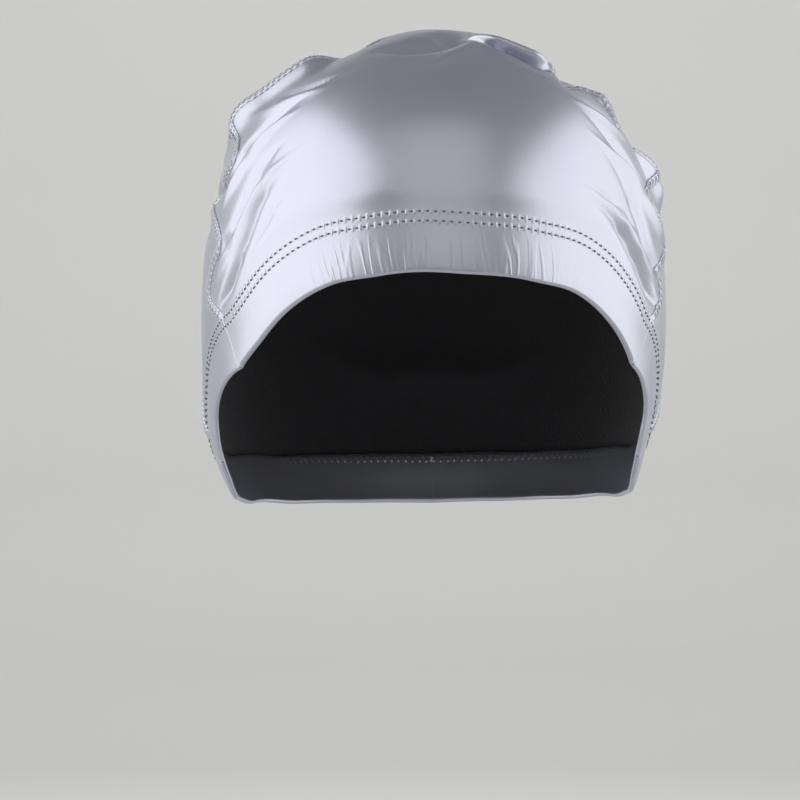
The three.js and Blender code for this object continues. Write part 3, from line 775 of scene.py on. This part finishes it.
# %% [markdown]
# ## Seams
# Each seam is a narrow band, raised where the edges of two panels lap, and drawn in by its stitches. At the
# hem it sinks in between the panels, so that the turned edge runs on smoothly. Its section is a short table
# that is swept along the seam and asks the cloth for its height at every point, so that it dips into each
# crease as sewn cloth does.

# %% Frames along a line of spots
SIDE_STEP = 0.7  # mm to each side, over which the sideways slope of the cloth is taken


def evenly(line, pitch):
    """Spots at even steps of length, about one pitch apart, along a dense row of spots."""
    points = cloth(line)[0]
    lengths = np.append(0, np.cumsum(np.linalg.norm(np.diff(points, axis=0), axis=1)))
    at = np.linspace(0, lengths[-1], round(lengths[-1] / pitch) + 1)
    return np.stack([np.interp(at, lengths, line[:, k]) for k in (0, 1)], -1)


def across_step(spots, tangent):
    """The step on the chart that goes one millimetre sideways from a line."""
    return chart_step(spots, unit(np.cross(smooth_normal(spots), tangent)))


def frames(spots, closed=False):
    """Point, tangent, sideways direction and outward normal of the cloth at each spot of a row."""
    points = cloth(spots)[0]
    if closed:
        tangent = unit(np.roll(points, -1, 0) - np.roll(points, 1, 0))
    else:
        tangent = unit(np.gradient(points, axis=0))
    step = across_step(spots, tangent) * SIDE_STEP
    side = unit(cloth(spots + step)[0] - cloth(spots - step)[0])
    return points, tangent, side, unit(np.cross(tangent, side))


front_facing = frames(stitch_spots, closed=True)[3][front_stitch]
print("the cloth faces", np.round(front_facing, 2), "at the front stitch")

# %% Seam bands
SEAM_WIDTH = 4.2  # mm
POINTS_PER_STITCH = 4
LINE_POINTS = 400
LINE_END = 0.002  # share of the line left off at each end
WIDE_WAVE = 0.06  # share of the width by which the band swells between two stitches
HIGH_WAVE = 0.12  # mm, likewise for its height
UNDER_BAND = 0.3  # mm that the band reaches below the cloth
SUNK_BAND = 0.6  # mm, how deep the band lies between the panels where the hem holds it
SUNK_RANGE = (0.9, 1.2)  # hem depths up from the edge, where it comes up between the panels
OFF_HEM = 60  # mm, a height at which the coat has no puffs or creases
# place across, as a share of the width, and height above the cloth in mm
BAND_PROFILE = [(-0.5, -0.25), (-0.49, 0.35), (-0.4, 0.62), (-0.3, 0.5), (-0.15, 0.72), (0, 0.8),
                (0.15, 0.72), (0.3, 0.5), (0.4, 0.62), (0.49, 0.35), (0.5, -0.25)]


def seam_band(name, line):
    """The band of a seam, and the spots along its middle."""
    dense = along(line, np.linspace(LINE_END, 1 - LINE_END, LINE_POINTS))
    spots = evenly(dense, STITCH_PITCH / POINTS_PER_STITCH)
    points, tangent, _, normal = frames(spots)
    wave = np.cos(np.arange(len(spots)) * 2 * math.pi / POINTS_PER_STITCH)
    across = across_step(spots, tangent)
    free = smoothstep(from_hem(points) / HEM_DEPTH, *SUNK_RANGE)
    sunk = SUNK_BAND * (1 - free)
    top, bottom = [], []
    for share, height in BAND_PROFILE:
        width = SEAM_WIDTH * share * (1 + WIDE_WAVE * wave)
        lift = (height + HIGH_WAVE * wave) * free - sunk
        top.append(cloth(spots + across * width[:, None])[0] + normal * lift[:, None])
        bottom.append(cloth(spots + across * SEAM_WIDTH * share)[0] - normal * (UNDER_BAND + sunk)[:, None])
    places = np.zeros((len(spots), len(BAND_PROFILE), 3))
    places[..., 1] = OFF_HEM
    return closed_sheet(name, np.stack(top, 1), np.stack(bottom, 1), places), spots


front_seam, front_seam_spots = seam_band("front_seam_band", front_seam_line)
back_seam, back_seam_spots = seam_band("back_seam_band", back_seam_line)
for piece in (front_seam, back_seam):
    piece.data.materials.append(coat)
    piece.data.materials.append(coat)

# %% [markdown]
# ## Threads
# A stitch is a short piece of thread that rises out of one needle hole and goes down into the next. Each is
# a thin tube, and all the stitches of the hem, or of one seam, are one mesh.

# %% Tubes of thread
THREAD_SIDES = 6
THREAD_TAPER = 0.45  # the radius at the needle holes, as a share of the full one
ARCH_POINTS = 6
ARCH_FULLNESS = 0.7  # below 1 a stitch rises steeply and runs flat
SUNK_END = 0.25  # mm, how deep the thread goes into the needle hole


def threads(name, paths, ups, radius):
    """One mesh of many short tubes. paths and ups are stitches by points by 3, in mm."""
    count, steps = paths.shape[:2]
    tangent = unit(np.gradient(paths, axis=1))
    side = unit(np.cross(ups, tangent))
    over = np.cross(tangent, side)
    taper = np.full(steps, radius)
    taper[[0, -1]] = radius * THREAD_TAPER
    rings = []
    for k in range(THREAD_SIDES):
        angle = 2 * math.pi * k / THREAD_SIDES
        rings.append(paths + taper[None, :, None] * (math.cos(angle) * side + math.sin(angle) * over))
    points = np.stack(rings, 2)
    index = np.arange(points[..., 0].size).reshape(points.shape[:3])
    beside = np.roll(index, -1, 2)
    walls = np.stack([index[:, :-1], beside[:, :-1], beside[:, 1:], index[:, 1:]], -1).reshape(-1, 4)
    caps = [ring for stitch in index for ring in (stitch[0, ::-1], stitch[-1])]
    mesh = bpy.data.meshes.new(name)
    faces = walls.tolist() + [cap.tolist() for cap in caps]
    mesh.from_pydata((points.reshape(-1, 3) * MM).tolist(), [], faces)
    mesh.polygons.foreach_set("use_smooth", np.ones(len(mesh.polygons), bool))
    mesh.update()
    piece = bpy.data.objects.new(name, mesh)
    bpy.context.scene.collection.objects.link(piece)
    print(f"{name}: {count} tubes, {sum(len(p.vertices) - 2 for p in mesh.polygons)} triangles")
    return piece


def arched(start, end, normal, height):
    """Points of a stitch from start to end, in mm, arched along the normal and sunk at its ends."""
    t = np.linspace(0, 1, ARCH_POINTS)[None, :, None]
    rise = np.sin(math.pi * t)
    lift = rise**ARCH_FULLNESS * height - SUNK_END * (1 - rise)
    return start[:, None] * (1 - t) + end[:, None] * t + lift * normal[:, None]


def sewn(name, rows, radius):
    """One mesh of rows of stitches, each row as mid points, half stitches, normals and an arch in mm."""
    paths = [arched(mid - half, mid + half, normal, height) for mid, half, normal, height in rows]
    ups = [np.repeat(normal[:, None], ARCH_POINTS, 1) for _, _, normal, _ in rows]
    return threads(name, np.vstack(paths), np.vstack(ups), radius)


# %% Stitches of the hem
STITCH_LENGTH = 1.2  # mm of thread that shows between two needle holes
HEM_THREAD = 0.33  # mm, radius
HEM_ARCH = 0.1  # mm
up_step = upward_step(stitch_spots, 1)
rows = []
for height in STITCH_ROWS:
    points, tangent, _, normal = frames(stitch_spots + up_step * (height - between_rows), closed=True)
    rows.append((points, tangent * STITCH_LENGTH / 2, normal, HEM_ARCH))
hem_stitches = sewn("hem_stitches", rows, HEM_THREAD)

# %% Stitches of the seams
SEAM_THREAD = 0.2  # mm, radius
FIRST_STITCH = 2  # points of the band left free at each end
ABOVE_ROWS = 1  # mm above the rows of the hem where the stitches of a seam begin
# two rows run along the band and a third crosses it slantwise from one to the other
ROW_OFFSET, ROW_HEIGHT, ROW_HALF, ROW_ARCH = 0.3, 0.62, 0.95, 0.15
SLANT_OFFSET, SLANT_HEIGHT, SLANT_HALF, SLANT_ARCH = 0.32, 0.75, 1.2, 0.2


def seam_stitch_mesh(name, spots):
    points, tangent, side, normal = frames(spots)
    k = np.arange(FIRST_STITCH, len(spots) - FIRST_STITCH - 1, POINTS_PER_STITCH)
    k = k[from_hem(points[k]) > STITCH_ROWS[0] + ABOVE_ROWS]
    points, tangent, side, normal = points[k], tangent[k], side[k] * SEAM_WIDTH, normal[k]
    rows = []
    for offset in (-ROW_OFFSET, ROW_OFFSET):
        rows.append((points + side * offset + normal * ROW_HEIGHT, tangent * ROW_HALF, normal, ROW_ARCH))
    slant = side * SLANT_OFFSET + tangent * SLANT_HALF
    rows.append((points + normal * SLANT_HEIGHT, slant, normal, SLANT_ARCH))
    return sewn(name, rows, SEAM_THREAD)


seam_stitches = [seam_stitch_mesh("front_seam_stitches", front_seam_spots),
                 seam_stitch_mesh("back_seam_stitches", back_seam_spots)]

# %% [markdown]
# ## What the threads are made of
# Both threads are spun polyester, which is matt to the eye. The stitches of the hem look like small dark
# dots, since they lie deep in the puffed cloth, so their thread is painted a shadow grey, which is painted
# shade. That of the seams is nearly white.

# %% Thread materials
# painted shade: the hem thread's grey stands in for the shadow in its needle holes and under the puffed
# cloth
hem_thread_painted_shade = new_material("polyester_thread_painted_shadow_grey", "#6b6e79", 0.6)[0]
white_thread = new_material("polyester_thread_light_grey", "#f0f1f4", 0.55)[0]
hem_stitches.data.materials.append(hem_thread_painted_shade)
for piece in seam_stitches:
    piece.data.materials.append(white_thread)
print("threads:", hem_thread_painted_shade.name, "and", white_thread.name)

# %% [markdown]
# ## Floor and light
# A plain pale cove carries the light round the cap. Two large soft boxes stand left and right of it, so
# that the satin coat shows a broad highlight on each side. A third, weak one in front and above keeps the
# grey middle between them from going dark. The last one lights the wall behind, so that it stays pale.

# %% Floor
FLOOR_Z = -0.55
COVE = [(0.0, 0.0), (2.6, 0.0), (3.0, 0.08), (3.25, 0.3), (3.35, 0.7), (3.35, 2.6)]  # radius and height, m
COVE_SIDES = 96
angles = np.linspace(0, 2 * math.pi, COVE_SIDES, endpoint=False)
cove_points = [(0, 0, FLOOR_Z)] + [(r * math.cos(a), r * math.sin(a), FLOOR_Z + h)
                                   for r, h in COVE[1:] for a in angles]
cove_faces = [(0, 1 + k, 1 + (k + 1) % COVE_SIDES) for k in range(COVE_SIDES)]
for ring in range(len(COVE) - 2):
    low, high = 1 + ring * COVE_SIDES, 1 + (ring + 1) * COVE_SIDES
    cove_faces += [(low + k, high + k, high + (k + 1) % COVE_SIDES, low + (k + 1) % COVE_SIDES)
                   for k in range(COVE_SIDES)]
mesh = bpy.data.meshes.new("floor_cove")
mesh.from_pydata(cove_points, [], cove_faces)
mesh.polygons.foreach_set("use_smooth", np.ones(len(cove_faces), bool))
floor = bpy.data.objects.new("floor_cove", mesh)
bpy.context.scene.collection.objects.link(floor)
# rolled matt paint gives no highlight, only even light
mesh.materials.append(new_material("matt_paint_pale_grey", "#dcdcda", 0.9)[0])
print("cove:", len(cove_faces), "faces")

# %% Lights
TARGET = np.array([0.0, 0.0, -0.08])
# azimuth and elevation in degrees, distance, width and height in m, watts
LIGHTS = {
    "left_soft_box": (-87, 19, 1.3, 2.3, 1.8, 15),
    "right_soft_box": (94, 12, 1.3, 2.2, 1.6, 11.5),
    "front_fill": (5, 37, 1.6, 1.4, 2.1, 3.2),
    "wall_light": (180, 42, 1.6, 1.6, 0.6, 24),
}
WALL_TILT = 72  # degrees, so that the wall light looks away from the cap, at the cove behind it
WORLD_STRENGTH = 0.28


def soft_box(name, azimuth, elevation, distance, width, height, watts):
    """A soft box that looks at the cap. Azimuth 0 is the camera's side, positive to its right."""
    a, e = math.radians(azimuth), math.radians(elevation)
    away = np.array([math.sin(a) * math.cos(e), -math.cos(a) * math.cos(e), math.sin(e)])
    bpy.ops.object.light_add(type="AREA", location=TARGET + away * distance)
    light = bpy.context.object
    light.name = name
    light.rotation_euler = (math.radians(90) - e, 0, a)
    light.data.shape = "RECTANGLE"
    light.data.size, light.data.size_y = width, height
    light.data.energy = watts
    light.visible_camera = False
    return light


lights = {name: soft_box(name, *values) for name, values in LIGHTS.items()}
lights["wall_light"].rotation_euler = (math.radians(WALL_TILT), 0, 0)
world = bpy.data.worlds.new("studio")
bpy.context.scene.world = world
world.use_nodes = True
world.node_tree.nodes["Background"].inputs["Color"].default_value = linear("#e8eaf0")
world.node_tree.nodes["Background"].inputs["Strength"].default_value = WORLD_STRENGTH
print("lights:", {name: round(light.data.energy, 1) for name, light in lights.items()}, "W")

# %% [markdown]
# ## Bodies and replaced solids
# The cap has no joint, so every piece rides on the one body. Each piece is listed with the solid that it
# replaces, which is then hidden.

# %% Ride and replace
# piece, slot of its finish, nodes that it replaces
for piece, slot, nodes in (
    (front_panel, "coated_knit", ["front_panel"]),
    (crown_strip, "coated_knit", ["crown_strip"]),
    (back_panel, "coated_knit", ["back_panel"]),
    (hem_fold, "coated_knit", ["hem_fold"]),
    (front_seam, "seam_thread", ["front_seam"]),
    (back_seam, "seam_thread", ["back_seam"]),
    (hem_stitches, "seam_thread", []),
    (seam_stitches[0], "seam_thread", []),
    (seam_stitches[1], "seam_thread", []),
):
    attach(piece, "root")
    if nodes:
        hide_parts(*nodes)
